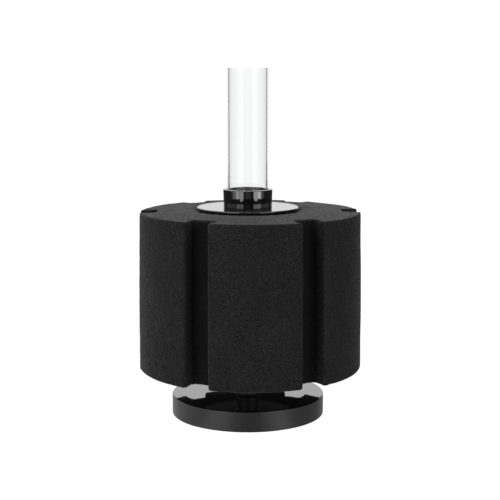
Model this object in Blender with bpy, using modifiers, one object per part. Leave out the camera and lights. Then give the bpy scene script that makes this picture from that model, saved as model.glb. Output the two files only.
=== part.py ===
"""Air-driven sponge filter on a round weighted foot, built as separate parts.

Run it with: blender --background --python part.py

Units are metres and +Z is up. The origin is the centre of the foot's underside,
and every joint slides along the Z axis. From the bottom up the parts are the foot
(shell, ballast ring and underplate), the core that plugs into it (stem, lower plate
and slotted strainer), the sponge round the core, the cap that closes the core (top
plate, collar and air inlet) and the clear lift tube that stands in the collar.
"""

import math

import bmesh
import bpy
from mathutils import Matrix, Vector

MM = 0.001

# Clearance between two parts that touch or slide on each other.
GAP = 0.3 * MM

# Lift tube.
TOTAL_HEIGHT = 169.7 * MM
TUBE_RADIUS = 10.0 * MM
TUBE_WALL = 1.0 * MM

# Foot.
FOOT_RADIUS = 37.5 * MM
FOOT_HEIGHT = 10.1 * MM
FOOT_WALL = 2.0 * MM
FOOT_LIFT = 0.2 * MM
UNDERPLATE_THICKNESS = 1.8 * MM
SOCKET_WALL = 2.7 * MM
SOCKET_FLOOR = 1.0 * MM

# Sponge: a cylinder with parallel-sided grooves cut down its whole height.
SPONGE_RADIUS = 53.75 * MM
SPONGE_BOTTOM = 23.75 * MM
SPONGE_HEIGHT = 76.9 * MM
GROOVES = 6
GROOVE_WIDTH = 11.3 * MM
GROOVE_FLOOR_RADIUS = 45.3 * MM
FIRST_GROOVE_ANGLE = math.radians(-27.0)
SPONGE_CORNER = 1.4 * MM
SPONGE_EDGE = 1.0 * MM

# Plates above and below the sponge.
PLATE_RADIUS = 24.7 * MM
PLATE_THICKNESS = 1.9 * MM
PLATE_EDGE = 0.35 * MM

# Core.
STEM_RADIUS = 6.0 * MM
SPIGOT_RADIUS = 4.0 * MM
SPIGOT_RISE = 1.3 * MM
STRAINER_RADIUS = 13.0 * MM
STRAINER_WALL = 1.5 * MM
STRAINER_FLOOR = 2.0 * MM
SLOT_COLUMNS = 8
SLOT_ROWS = 4
SLOT_WIDTH = 3.2 * MM
SLOT_HEIGHT = 10.0 * MM
SLOT_PITCH = 13.2 * MM
FIRST_SLOT = 10.5 * MM

# Collar: the socket that the lift tube stands in, with a spigot down into the strainer.
COLLAR_RADIUS = 12.1 * MM
COLLAR_TOP = 111.5 * MM
COLLAR_BOTTOM = 84.4 * MM
LEDGE_HEIGHT = 92.0 * MM
LEDGE_THICKNESS = 2.0 * MM

# Air inlet.
SPIDER_HEIGHT = 6.6 * MM
SPIDER_RING = 1.4 * MM
SPIDER_WEB = 3.0 * MM
HUB_RADIUS = 4.0 * MM
SPOKES = 3
SPOKE_ANGLE = math.radians(24.0)
NIPPLE_BOTTOM = 72.0 * MM
NIPPLE_TOP = 112.4 * MM
NIPPLE_RADIUS = 2.05 * MM
NIPPLE_BORE = 1.1 * MM
NIPPLE_FLANGE = 3.2 * MM
FLANGE_THICKNESS = 1.2 * MM
BARBS = 3
BARB_PITCH = 3.6 * MM
BARB_RADIUS = 2.55 * MM
TIP_RADIUS = 1.6 * MM
DIFFUSER_RADIUS = 5.5 * MM
DIFFUSER_WALL = 1.2 * MM
DIFFUSER_BOTTOM = 64.0 * MM
DIFFUSER_TOP = 83.0 * MM
PORT_ROWS = 3
PORT_COLUMNS = 6
PORT_RADIUS = 0.7 * MM
PORT_PITCH = 3.4 * MM

# Turns per full circle, from the widest parts to the narrowest.
WIDE_STEPS = 60
TUBE_STEPS = 48
SMALL_STEPS = 24

# Worked out from the driving sizes above.
SPONGE_TOP = SPONGE_BOTTOM + SPONGE_HEIGHT
UPPER_PLATE_BOTTOM = SPONGE_TOP + GAP
LOWER_PLATE_BOTTOM = SPONGE_BOTTOM - GAP - PLATE_THICKNESS
COLLAR_SHOULDER = UPPER_PLATE_BOTTOM + PLATE_THICKNESS + GAP
TUBE_BOTTOM = LEDGE_HEIGHT + LEDGE_THICKNESS + GAP
STRAINER_BORE = STRAINER_RADIUS - STRAINER_WALL
COLLAR_SPIGOT = STRAINER_BORE - GAP
COLLAR_BORE = TUBE_RADIUS + GAP
TUBE_BORE = TUBE_RADIUS - TUBE_WALL
SPIDER_BOTTOM = LEDGE_HEIGHT - GAP - SPIDER_HEIGHT
STEM_BOTTOM = UNDERPLATE_THICKNESS + GAP + SOCKET_FLOOR + GAP

# Finishes: colour, roughness, metallic value, alpha.
FINISHES = {
    "gloss_black": ((0.012, 0.012, 0.013), 0.08, 0.0, 1.0),
    "satin_black": ((0.030, 0.030, 0.031), 0.45, 0.0, 1.0),
    "core_black": ((0.020, 0.020, 0.021), 0.50, 0.0, 1.0),
    "foam_black": ((0.035, 0.035, 0.036), 0.95, 0.0, 1.0),
    "clear_acrylic": ((0.93, 0.94, 0.94), 0.03, 0.0, 0.35),
    "ballast_steel": ((0.42, 0.42, 0.43), 0.35, 1.0, 1.0),
    "diffuser_grey": ((0.20, 0.20, 0.21), 0.55, 0.0, 1.0),
}


def clear_scene():
    """Remove every object that the file opened with."""
    for obj in list(bpy.data.objects):
        bpy.data.objects.remove(obj, do_unlink=True)


def new_collection(name, hidden=False):
    """Make a collection under the scene's own one."""
    collection = bpy.data.collections.new(name)
    collection.hide_render = hidden
    bpy.context.scene.collection.children.link(collection)
    return collection


def finish(name):
    """Return a new material with one of the finishes."""
    colour, roughness, metallic, alpha = FINISHES[name]
    material = bpy.data.materials.new(name)
    material.use_nodes = True
    shader = material.node_tree.nodes["Principled BSDF"]
    shader.inputs["Base Color"].default_value = (*colour, 1.0)
    shader.inputs["Roughness"].default_value = roughness
    shader.inputs["Metallic"].default_value = metallic
    shader.inputs["Alpha"].default_value = alpha
    material.diffuse_color = (*colour, alpha)
    return material


def fillet(points, radii, segments=3):
    """Round the corners of a closed outline.

    points are (x, y) pairs and radii gives each corner's radius, 0 for a sharp one.
    Each rounded corner becomes an arc that leaves the two sides tangentially.
    """
    rounded = []
    count = len(points)
    for index, radius in enumerate(radii):
        corner = Vector(points[index])
        if radius == 0.0:
            rounded.append(tuple(corner))
            continue
        before = (Vector(points[index - 1]) - corner).normalized()
        after = (Vector(points[(index + 1) % count]) - corner).normalized()
        half_angle = before.angle(after) / 2.0
        reach = radius / math.tan(half_angle)
        centre = corner + (before + after).normalized() * (radius / math.sin(half_angle))
        start = corner + before * reach - centre
        turn = start.angle_signed(corner + after * reach - centre)
        for step in range(segments + 1):
            arm = start.copy()
            arm.rotate(Matrix.Rotation(-turn * step / segments, 2))
            rounded.append(tuple(centre + arm))
    return rounded


def add_object(name, data, collection, parent, height):
    """Add an object on the Z axis at a height above the foot's underside."""
    obj = bpy.data.objects.new(name, data)
    collection.objects.link(obj)
    obj.location = (0.0, 0.0, height)
    if parent is not None:
        obj.parent = parent
        obj.location.z -= parent.location.z
    return obj


def turned(name, profile, collection, parent, height, steps=TUBE_STEPS):
    """Turn a closed (radius, z) outline round Z. It runs down its outer side."""
    mesh = bpy.data.meshes.new(name)
    count = len(profile)
    on_axis = [index for index, (radius, _) in enumerate(profile) if radius == 0.0]
    edges = [(index, (index + 1) % count) for index in range(count)]
    if on_axis:
        edges.remove((count - 1, 0))
    mesh.from_pydata([(radius, 0.0, z) for radius, z in profile], edges, [])
    obj = add_object(name, mesh, collection, parent, height)
    turn = obj.modifiers.new("Turn", "SCREW")
    turn.steps = steps
    turn.render_steps = steps
    turn.use_merge_vertices = True
    turn.merge_threshold = 0.00001
    turn.use_smooth_shade = True
    return obj


def settle(obj):
    """Keep an object's evaluated shape as its mesh, with smooth round faces."""
    depsgraph = bpy.context.evaluated_depsgraph_get()
    mesh = bpy.data.meshes.new_from_object(obj.evaluated_get(depsgraph))
    cleaner = bmesh.new()
    cleaner.from_mesh(mesh)
    bmesh.ops.remove_doubles(cleaner, verts=cleaner.verts, dist=0.000005)
    cleaner.to_mesh(mesh)
    cleaner.free()
    mesh.shade_smooth()
    mesh.set_sharp_from_angle(angle=math.radians(32.0))
    settled = bpy.data.objects.new("settled", mesh)
    for collection in obj.users_collection:
        collection.objects.link(settled)
    settled.parent = obj.parent
    settled.location = obj.location
    name = obj.name
    bpy.data.objects.remove(obj, do_unlink=True)
    settled.name = name
    return settled


def prism(name, outlines, collection, parent, height, thickness):
    """Raise flat closed outlines into a solid; an outline inside another is a hole."""
    curve = bpy.data.curves.new(name, "CURVE")
    curve.dimensions = "2D"
    curve.fill_mode = "BOTH"
    curve.extrude = thickness / 2.0
    for outline in outlines:
        spline = curve.splines.new("POLY")
        spline.points.add(len(outline) - 1)
        spline.use_cyclic_u = True
        for point, (x, y) in zip(spline.points, outline):
            point.co = (x, y, 0.0, 1.0)
    obj = add_object(name, curve, collection, parent, height + thickness / 2.0)
    return settle(obj)


def cut(obj, cutter):
    """Cut one object's shape out of another, and hide the cutter."""
    cutter.hide_render = True
    cutter.display_type = "WIRE"
    boolean = obj.modifiers.new("Cut " + cutter.name, "BOOLEAN")
    boolean.operation = "DIFFERENCE"
    boolean.solver = "EXACT"
    boolean.object = cutter
    return settle(obj)


def arc(radius, start, end, segments):
    """Return the points of an arc from one angle to another, both ends included."""
    angles = [start + (end - start) * step / segments for step in range(segments + 1)]
    return [(radius * math.cos(angle), radius * math.sin(angle)) for angle in angles]


def disc_profile(radius, bore, thickness, edge, segments=2):
    """Return the outline of a disc with a hole and rounded outer edges."""
    corners = [(bore, thickness), (radius, thickness), (radius, 0.0), (bore, 0.0)]
    return fillet(corners, [0.0, edge, edge, 0.0], segments)


def build_foot(parts, empty):
    """Build the weighted foot: shell with the stem's socket, ballast and underplate."""
    inner = FOOT_RADIUS - FOOT_WALL
    ceiling = FOOT_HEIGHT - FOOT_WALL
    bore = STEM_RADIUS + GAP
    boss = bore + SOCKET_WALL
    boss_bottom = UNDERPLATE_THICKNESS + GAP
    socket_floor = boss_bottom + SOCKET_FLOOR
    corners = [
        (0.0, socket_floor, 0.0),
        (bore, socket_floor, 0.0),
        (bore, FOOT_HEIGHT, 0.3 * MM),
        (FOOT_RADIUS, FOOT_HEIGHT, 0.5 * MM),
        (FOOT_RADIUS, FOOT_LIFT, 0.4 * MM),
        (inner, FOOT_LIFT, 0.0),
        (inner, ceiling, 0.0),
        (boss, ceiling, 0.0),
        (boss, boss_bottom, 0.0),
        (0.0, boss_bottom, 0.0),
    ]
    profile = fillet([(r, z) for r, z, _ in corners], [edge for _, _, edge in corners], 2)
    turned("base_shell", profile, parts, empty, 0.0, WIDE_STEPS)

    ballast_bottom = UNDERPLATE_THICKNESS + GAP
    ballast_height = ceiling - GAP - ballast_bottom
    ring = disc_profile(inner - GAP, boss + GAP, ballast_height, 0.6 * MM, 1)
    turned("base_weight", ring, parts, empty, ballast_bottom, TUBE_STEPS)

    rim = inner - GAP
    chamfer = 0.4 * MM
    plate = [
        (0.0, UNDERPLATE_THICKNESS),
        (rim, UNDERPLATE_THICKNESS),
        (rim, chamfer),
        (rim - chamfer, 0.0),
        (0.0, 0.0),
    ]
    turned("base_underplate", plate, parts, empty, 0.0, WIDE_STEPS)


def build_stem(parts, empty):
    """Build the stem: a plug for the foot's socket with a spigot through the plate."""
    shoulder = LOWER_PLATE_BOTTOM - GAP - STEM_BOTTOM
    top = SPONGE_BOTTOM + STRAINER_FLOOR + SPIGOT_RISE - STEM_BOTTOM
    corners = [
        (0.0, top, 0.0),
        (SPIGOT_RADIUS, top, 0.4 * MM),
        (SPIGOT_RADIUS, shoulder, 0.0),
        (STEM_RADIUS, shoulder, 0.4 * MM),
        (STEM_RADIUS, 0.0, 0.8 * MM),
        (0.0, 0.0, 0.0),
    ]
    profile = fillet([(r, z) for r, z, _ in corners], [edge for _, _, edge in corners], 2)
    turned("stem", profile, parts, empty, STEM_BOTTOM, SMALL_STEPS)


def slot_cutters(cutters):
    """Make the box-shaped cutters of the strainer's slots, as one object."""
    maker = bmesh.new()
    inner = STRAINER_BORE - 2.0 * MM
    outer = STRAINER_RADIUS + 2.0 * MM
    for row in range(SLOT_ROWS):
        for column in range(SLOT_COLUMNS):
            middle = (inner + outer) / 2.0
            height = FIRST_SLOT + SLOT_PITCH * row
            size = Matrix.Diagonal((outer - inner, SLOT_WIDTH, SLOT_HEIGHT, 1.0))
            move = Matrix.Translation((middle, 0.0, height))
            spin = Matrix.Rotation(math.tau * column / SLOT_COLUMNS, 4, "Z")
            bmesh.ops.create_cube(maker, size=1.0, matrix=spin @ move @ size)
    mesh = bpy.data.meshes.new("slot_cutters")
    maker.to_mesh(mesh)
    maker.free()
    return add_object("slot_cutters", mesh, cutters, None, SPONGE_BOTTOM)


def build_strainer(parts, cutters, empty):
    """Build the slotted core tube with its floor, which the stem's spigot passes."""
    hole = SPIGOT_RADIUS + GAP
    profile = [
        (STRAINER_BORE, SPONGE_HEIGHT),
        (STRAINER_RADIUS, SPONGE_HEIGHT),
        (STRAINER_RADIUS, 0.0),
        (hole, 0.0),
        (hole, STRAINER_FLOOR),
        (STRAINER_BORE, STRAINER_FLOOR),
    ]
    tube = turned("strainer", profile, parts, empty, SPONGE_BOTTOM)
    cut(tube, slot_cutters(cutters))


def build_sponge(parts, empty):
    """Build the sponge: a six-lobed block with a bore for the strainer."""
    half = GROOVE_WIDTH / 2.0
    lip = math.sqrt(SPONGE_RADIUS**2 - half**2)
    spread = math.asin(half / SPONGE_RADIUS)
    pitch = math.tau / GROOVES
    arc_steps = 9
    points = []
    radii = []
    for groove in range(GROOVES):
        # Angles are counted from -Y, the front, towards +X.
        angle = FIRST_GROOVE_ANGLE + pitch * groove - math.pi / 2.0
        turn = Matrix.Rotation(angle, 2)
        for reach, side in (
            (lip, -half),
            (GROOVE_FLOOR_RADIUS, -half),
            (GROOVE_FLOOR_RADIUS, half),
            (lip, half),
        ):
            points.append(tuple(turn @ Vector((reach, side))))
            radii.append(SPONGE_CORNER)
        lobe = arc(SPONGE_RADIUS, angle + spread, angle + pitch - spread, arc_steps)
        points += lobe[1:-1]
        radii += [0.0] * (arc_steps - 1)
    outline = fillet(points, radii, 3)
    bore = arc(STRAINER_RADIUS + GAP, 0.0, math.tau, TUBE_STEPS)[:-1]
    block = prism("sponge", [outline, bore], parts, empty, SPONGE_BOTTOM, SPONGE_HEIGHT)
    bevel = block.modifiers.new("Soft edges", "BEVEL")
    bevel.width = SPONGE_EDGE
    bevel.segments = 2
    bevel.limit_method = "ANGLE"
    bevel.angle_limit = math.radians(50.0)
    settle(block)


def build_plates(parts, core, cap):
    """Build the discs that lie under and on the sponge."""
    lower = disc_profile(PLATE_RADIUS, SPIGOT_RADIUS + GAP, PLATE_THICKNESS, PLATE_EDGE)
    turned("lower_plate", lower, parts, core, LOWER_PLATE_BOTTOM, WIDE_STEPS)
    upper = disc_profile(PLATE_RADIUS, COLLAR_SPIGOT + GAP, PLATE_THICKNESS, PLATE_EDGE)
    turned("top_plate", upper, parts, cap, UPPER_PLATE_BOTTOM, WIDE_STEPS)


def build_collar(parts, empty):
    """Build the collar: socket above, spigot below, and the ledge between the bores."""
    top = COLLAR_TOP - COLLAR_BOTTOM
    shoulder = COLLAR_SHOULDER - COLLAR_BOTTOM
    ledge = LEDGE_HEIGHT - COLLAR_BOTTOM
    corners = [
        (COLLAR_BORE, top, 0.3 * MM),
        (COLLAR_RADIUS, top, 0.3 * MM),
        (COLLAR_RADIUS, shoulder, 0.2 * MM),
        (COLLAR_SPIGOT, shoulder, 0.0),
        (COLLAR_SPIGOT, 0.0, 0.0),
        (COLLAR_BORE, 0.0, 0.0),
        (COLLAR_BORE, ledge, 0.0),
        (TUBE_BORE, ledge, 0.0),
        (TUBE_BORE, ledge + LEDGE_THICKNESS, 0.0),
        (COLLAR_BORE, ledge + LEDGE_THICKNESS, 0.0),
    ]
    profile = fillet([(r, z) for r, z, _ in corners], [edge for _, _, edge in corners], 2)
    turned("collar", profile, parts, empty, COLLAR_BOTTOM)


def build_spider(parts, cutters, empty):
    """Build the air inlet's carrier: a ring, a hub and the spokes between them."""
    outer = COLLAR_BORE - GAP
    inner = outer - SPIDER_RING
    hole = NIPPLE_RADIUS + GAP
    web_bottom = (SPIDER_HEIGHT - SPIDER_WEB) / 2.0
    web_top = web_bottom + SPIDER_WEB
    profile = [
        (inner, SPIDER_HEIGHT),
        (outer, SPIDER_HEIGHT),
        (outer, 0.0),
        (inner, 0.0),
        (inner, web_bottom),
        (HUB_RADIUS, web_bottom),
        (HUB_RADIUS, 0.0),
        (hole, 0.0),
        (hole, SPIDER_HEIGHT),
        (HUB_RADIUS, SPIDER_HEIGHT),
        (HUB_RADIUS, web_top),
        (inner, web_top),
    ]
    carrier = turned("air_spider", profile, parts, empty, SPIDER_BOTTOM)
    pitch = math.tau / SPOKES
    for window in range(SPOKES):
        start = pitch * window + SPOKE_ANGLE / 2.0
        end = start + pitch - SPOKE_ANGLE
        outside = arc(inner - 0.4 * MM, start, end, 10)
        inside = arc(HUB_RADIUS + 0.4 * MM, end, start, 6)
        name = f"window_cutter_{window + 1}"
        bottom = SPIDER_BOTTOM - 1.0 * MM
        depth = SPIDER_HEIGHT + 2.0 * MM
        cutter = prism(name, [outside + inside], cutters, None, bottom, depth)
        carrier = cut(carrier, cutter)


def build_nipple(parts, empty):
    """Build the barbed air nipple that the spider's hub carries."""
    top = NIPPLE_TOP - NIPPLE_BOTTOM
    flange_bottom = SPIDER_BOTTOM + SPIDER_HEIGHT + GAP - NIPPLE_BOTTOM
    profile = [(NIPPLE_BORE, top), (TIP_RADIUS, top)]
    for barb in range(BARBS):
        crest = top - BARB_PITCH * (barb + 1) + BARB_PITCH * 0.3
        profile.append((BARB_RADIUS, crest))
        profile.append((BARB_RADIUS, crest - 0.3 * MM))
        profile.append((NIPPLE_RADIUS * 0.85, crest - 0.7 * MM))
    profile += [
        (NIPPLE_RADIUS, top - BARB_PITCH * (BARBS + 1)),
        (NIPPLE_RADIUS, flange_bottom + FLANGE_THICKNESS),
        (NIPPLE_FLANGE, flange_bottom + FLANGE_THICKNESS),
        (NIPPLE_FLANGE, flange_bottom),
        (NIPPLE_RADIUS, flange_bottom),
        (NIPPLE_RADIUS, 0.0),
        (NIPPLE_BORE, 0.0),
    ]
    turned("air_nipple", profile, parts, empty, NIPPLE_BOTTOM, SMALL_STEPS)


def port_cutters(cutters):
    """Make the cutters of the diffuser's ports, as one object."""
    maker = bmesh.new()
    reach = DIFFUSER_WALL + 2.0 * MM
    for row in range(PORT_ROWS):
        for column in range(PORT_COLUMNS):
            height = DIFFUSER_RADIUS + 1.0 * MM + PORT_PITCH * row
            lay = Matrix.Rotation(math.pi / 2.0, 4, "Y")
            middle = DIFFUSER_RADIUS - DIFFUSER_WALL / 2.0
            move = Matrix.Translation((middle, 0.0, height))
            turn = math.tau * (column + 0.5 * (row % 2)) / PORT_COLUMNS
            spin = Matrix.Rotation(turn, 4, "Z")
            bmesh.ops.create_cone(
                maker,
                cap_ends=True,
                segments=8,
                radius1=PORT_RADIUS,
                radius2=PORT_RADIUS,
                depth=reach,
                matrix=spin @ move @ lay,
            )
    mesh = bpy.data.meshes.new("port_cutters")
    maker.to_mesh(mesh)
    maker.free()
    return add_object("port_cutters", mesh, cutters, None, DIFFUSER_BOTTOM)


def build_diffuser(parts, cutters, empty):
    """Build the perforated bullet that breaks the air into bubbles."""
    top = DIFFUSER_TOP - DIFFUSER_BOTTOM
    inner = DIFFUSER_RADIUS - DIFFUSER_WALL
    hole = NIPPLE_RADIUS + GAP
    nose = arc(DIFFUSER_RADIUS, 0.0, -math.pi / 2.0, 5)
    hollow = arc(inner, -math.pi / 2.0, 0.0, 5)
    profile = [(hole, top), (DIFFUSER_RADIUS, top)]
    profile += [(radius, z + DIFFUSER_RADIUS) for radius, z in nose[:-1]]
    profile.append((0.0, 0.0))
    profile.append((0.0, DIFFUSER_WALL))
    profile += [(radius, z + DIFFUSER_RADIUS) for radius, z in hollow[1:]]
    profile += [(inner, top - DIFFUSER_WALL), (hole, top - DIFFUSER_WALL)]
    shift = profile.index((0.0, DIFFUSER_WALL))
    profile = profile[shift:] + profile[:shift]
    bullet = turned("diffuser", profile, parts, empty, DIFFUSER_BOTTOM, SMALL_STEPS)
    cut(bullet, port_cutters(cutters))


def build_lift_tube(parts, empty):
    """Build the clear lift tube that stands on the collar's ledge."""
    length = TOTAL_HEIGHT - TUBE_BOTTOM
    profile = disc_profile(TUBE_RADIUS, TUBE_BORE, length, 0.2 * MM, 1)
    turned("lift_tube", profile, parts, empty, TUBE_BOTTOM)


def add_empty(name, collection, parent, height):
    """Add the empty that a moving group's parts hang from, on the joint's axis."""
    return add_object(name, None, collection, parent, height)


def main():
    """Build every part, hang it from its group and give it its finish."""
    clear_scene()
    parts = new_collection("sponge_filter")
    cutters = new_collection("cutters", hidden=True)

    foot = add_empty("foot_group", parts, None, 0.0)
    core = add_empty("core_group", parts, None, STEM_BOTTOM)
    sponge = add_empty("sponge_group", parts, None, SPONGE_BOTTOM)
    cap = add_empty("cap_group", parts, None, UPPER_PLATE_BOTTOM)
    tube = add_empty("tube_group", parts, None, TUBE_BOTTOM)

    build_foot(parts, foot)
    build_stem(parts, core)
    build_strainer(parts, cutters, core)
    build_sponge(parts, sponge)
    build_plates(parts, core, cap)
    build_collar(parts, cap)
    build_spider(parts, cutters, cap)
    build_nipple(parts, cap)
    build_diffuser(parts, cutters, cap)
    build_lift_tube(parts, tube)

    worn_by = {
        "satin_black": ["base_shell"],
        "ballast_steel": ["base_weight"],
        "core_black": ["base_underplate", "stem", "strainer", "air_spider", "air_nipple"],
        "gloss_black": ["lower_plate", "top_plate", "collar"],
        "foam_black": ["sponge"],
        "diffuser_grey": ["diffuser"],
        "clear_acrylic": ["lift_tube"],
    }
    for name, wearers in worn_by.items():
        material = finish(name)
        for wearer in wearers:
            bpy.data.objects[wearer].data.materials.append(material)


main()
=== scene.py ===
"""Looks of an air-driven sponge filter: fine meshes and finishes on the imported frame.

The filter stands on a weighted foot. From the bottom up come the foot, the core that
plugs into it, the grooved sponge round the core, the cap with its collar, and the
clear lift tube. Each is a class here, built in that order by main().
"""

import logging
import math
from dataclasses import dataclass, field, replace
from enum import Enum
from typing import Any, Union

import bmesh
import bpy
from mathutils import Matrix, Vector


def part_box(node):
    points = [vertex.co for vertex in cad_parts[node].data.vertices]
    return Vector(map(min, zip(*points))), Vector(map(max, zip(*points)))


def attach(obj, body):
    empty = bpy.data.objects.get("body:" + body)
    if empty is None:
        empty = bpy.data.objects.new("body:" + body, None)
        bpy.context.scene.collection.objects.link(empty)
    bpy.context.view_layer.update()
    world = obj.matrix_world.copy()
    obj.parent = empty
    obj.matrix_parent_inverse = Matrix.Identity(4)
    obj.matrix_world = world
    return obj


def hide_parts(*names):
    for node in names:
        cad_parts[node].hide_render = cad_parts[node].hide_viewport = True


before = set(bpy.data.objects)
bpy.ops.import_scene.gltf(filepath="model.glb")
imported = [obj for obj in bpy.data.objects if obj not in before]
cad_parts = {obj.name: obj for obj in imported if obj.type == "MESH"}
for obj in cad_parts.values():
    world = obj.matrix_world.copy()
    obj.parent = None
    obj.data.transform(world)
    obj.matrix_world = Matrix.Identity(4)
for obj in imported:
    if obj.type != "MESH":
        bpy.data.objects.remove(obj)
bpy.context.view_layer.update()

log = logging.getLogger("sponge_filter")

MM = 0.001
TUBE_WALL = 1.0 * MM

Point = tuple[float, float]
Colour = tuple[float, float, float]
Number = Union[float, "Value"]

# The part of a noise pattern's range where it changes most.
MIDDLE: Point = (0.3, 0.7)


class Body(Enum):
    """The moving groups of the filter."""

    FOOT = "foot"
    CORE = "core"
    SPONGE = "sponge_block"
    CAP = "cap"
    TUBE = "tube"


class Slot(Enum):
    """The finishes of the new pieces, as the frame's record names them."""

    FOOT = "foot_black"
    GLOSS = "gloss_black"
    CORE = "core_black"
    FOAM = "foam_black"
    DIFFUSER = "diffuser_grey"
    CLEAR = "clear_tube"


class Noise(Enum):
    """How rough a noise pattern is: its number of octaves."""

    SOFT = 1.0
    MIXED = 3.0
    HARSH = 6.0


# ---------------------------------------------------------------- node trees


class Value:
    """A node socket on which Python's arithmetic adds Math nodes."""

    def __init__(self, tree: "Tree", socket: bpy.types.NodeSocket) -> None:
        """Wrap one output socket of a tree."""
        self.tree = tree
        self.socket = socket

    def math(self, operation: str, *others: Number) -> "Value":
        """Add a Math node.

        Args:
            operation: the Math node's operation.
            others: the node's second and third values.

        Returns:
            The node's result.
        """
        values = dict(enumerate((self, *others)))
        return self.tree.value("ShaderNodeMath", {"operation": operation}, values)

    def __add__(self, other: Number) -> "Value":
        """Add a number or a value."""
        return self.math("ADD", other)

    __radd__ = __add__

    def __sub__(self, other: Number) -> "Value":
        """Take a number or a value away."""
        return self.math("SUBTRACT", other)

    def __rsub__(self, other: float) -> "Value":
        """Take this value from a number, as -value + number."""
        return self.math("MULTIPLY_ADD", -1.0, other)

    def __mul__(self, other: Number) -> "Value":
        """Multiply by a number or a value."""
        return self.math("MULTIPLY", other)

    __rmul__ = __mul__

    def step(self, low: float, high: float) -> "Value":
        """Rise smoothly from 0 to 1.

        Args:
            low: the value that gives 0.
            high: the value that gives 1; below low for a falling step.

        Returns:
            The smooth step.
        """
        settings = {"interpolation_type": "SMOOTHSTEP"}
        ends = {"Value": self, "From Min": low, "From Max": high}
        return self.tree.value("ShaderNodeMapRange", settings, ends)


class Tree:
    """A node tree, with one method that adds any node."""

    def __init__(self, nodes: bpy.types.NodeTree) -> None:
        """Start from an empty tree."""
        self.nodes = nodes
        self.nodes.nodes.clear()

    def node(
        self,
        kind: str,
        settings: dict[str, Any] | None = None,
        sockets: dict[str | int, Any] | None = None,
    ) -> bpy.types.Node:
        """Add a node, set it, and fill or link its sockets.

        Args:
            kind: the node's type.
            settings: its properties, set first.
            sockets: input name, identifier or number to a value, a Value or a socket.

        Returns:
            The new node.
        """
        made = self.nodes.nodes.new(kind)
        for name, setting in (settings or {}).items():
            setattr(made, name, setting)
        for key, content in (sockets or {}).items():
            entry = self.entry(made, key)
            if isinstance(content, Value):
                self.nodes.links.new(content.socket, entry)
            elif isinstance(content, bpy.types.NodeSocket):
                self.nodes.links.new(content, entry)
            else:
                entry.default_value = content
        return made

    @staticmethod
    def entry(node: bpy.types.Node, key: str | int) -> bpy.types.NodeSocket:
        """Find an input socket.

        Args:
            node: the node that has it.
            key: its number, identifier or name.

        Returns:
            The socket.
        """
        if isinstance(key, int):
            return node.inputs[key]
        for socket in node.inputs:
            if key == socket.identifier:
                return socket
        return next(s for s in node.inputs if s.name == key and s.enabled)

    def value(
        self,
        kind: str,
        settings: dict[str, Any] | None = None,
        sockets: dict[str | int, Any] | None = None,
        output: str | int = 0,
    ) -> Value:
        """Add a node and wrap one of its outputs.

        Args:
            kind: the node's type.
            settings: its properties.
            sockets: its inputs.
            output: the output's name or number.

        Returns:
            The wrapped output.
        """
        return Value(self, self.node(kind, settings, sockets).outputs[output])

    def axes(self, place: Value) -> tuple[Value, Value, Value]:
        """Split a vector into its X, Y and Z."""
        parts = self.node("ShaderNodeSeparateXYZ", None, {0: place})
        return tuple(Value(self, socket) for socket in parts.outputs)

    def vector(self, **sides: Number) -> Value:
        """Make a vector from its X, Y and Z, each 0 if it isn't given."""
        return self.value("ShaderNodeCombineXYZ", None, sides)

    def mix(self, factor: Number, low: Colour, high: Colour) -> Value:
        """Blend two colours.

        Args:
            factor: 0 for the first colour, 1 for the second.
            low: the first colour.
            high: the second colour.

        Returns:
            The blended colour.
        """
        sockets = {
            "Factor_Float": factor,
            "A_Color": (*low, 1.0),
            "B_Color": (*high, 1.0),
        }
        made = self.node("ShaderNodeMix", {"data_type": "RGBA"}, sockets)
        return Value(self, next(s for s in made.outputs if s.identifier == "Result_Color"))


class Finish(Tree):
    """A material's node tree with the patterns that the filter's finishes share."""

    def __init__(self, name: str) -> None:
        """Make the material and its place on the surface."""
        self.material = bpy.data.materials.new(name)
        self.material.use_nodes = True
        super().__init__(self.material.node_tree)
        self.place = self.value("ShaderNodeTexCoord", None, None, "Object")

    def stretched(self, scale: tuple[float, float, float]) -> Value:
        """Scale the place on the surface along each axis."""
        return self.value("ShaderNodeMapping", None, {"Vector": self.place, "Scale": scale})

    def noise(self, size: float, kind: Noise, place: Value | None = None) -> Value:
        """Add a noise pattern.

        Args:
            size: the size of its features, in metres.
            kind: how rough it is.
            place: where it is read, or None for the plain place on the surface.

        Returns:
            The pattern, from 0 to 1.
        """
        sockets = {"Vector": place or self.place, "Scale": 1.0 / size, "Detail": kind.value}
        return self.value("ShaderNodeTexNoise", None, sockets)

    def height(self) -> Value:
        """Give the height above the floor, in metres."""
        return self.axes(self.place)[2]

    def bump(self, pattern: Value, depth: float, strength: float = 1.0) -> Value:
        """Turn a pattern into a relief of a real depth, in metres."""
        sockets = {"Strength": strength, "Distance": depth, "Height": pattern}
        return self.value("ShaderNodeBump", None, sockets)

    def principled(self, **sockets: Any) -> bpy.types.Node:
        """Add a Principled shader.

        Args:
            sockets: its inputs, with underscores for the spaces in their names.

        Returns:
            The shader.
        """
        named = {key.replace("_", " "): content for key, content in sockets.items()}
        return self.node("ShaderNodeBsdfPrincipled", None, named)

    def blend(self, factor: Value, low: bpy.types.Node, high: bpy.types.Node) -> bpy.types.Node:
        """Mix two shaders, from the first at 0 to the second at 1."""
        sockets = {0: factor, 1: low.outputs[0], 2: high.outputs[0]}
        return self.node("ShaderNodeMixShader", None, sockets)

    def show(self, shader: bpy.types.Node) -> bpy.types.Material:
        """Put a shader on the surface and give the finished material."""
        self.node("ShaderNodeOutputMaterial", None, {"Surface": shader.outputs[0]})
        return self.material

    def surface(self, **sockets: Any) -> bpy.types.Material:
        """Finish the material with one Principled shader, whose inputs are given."""
        return self.show(self.principled(**sockets))


# ------------------------------------------------------------------ finishes


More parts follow.
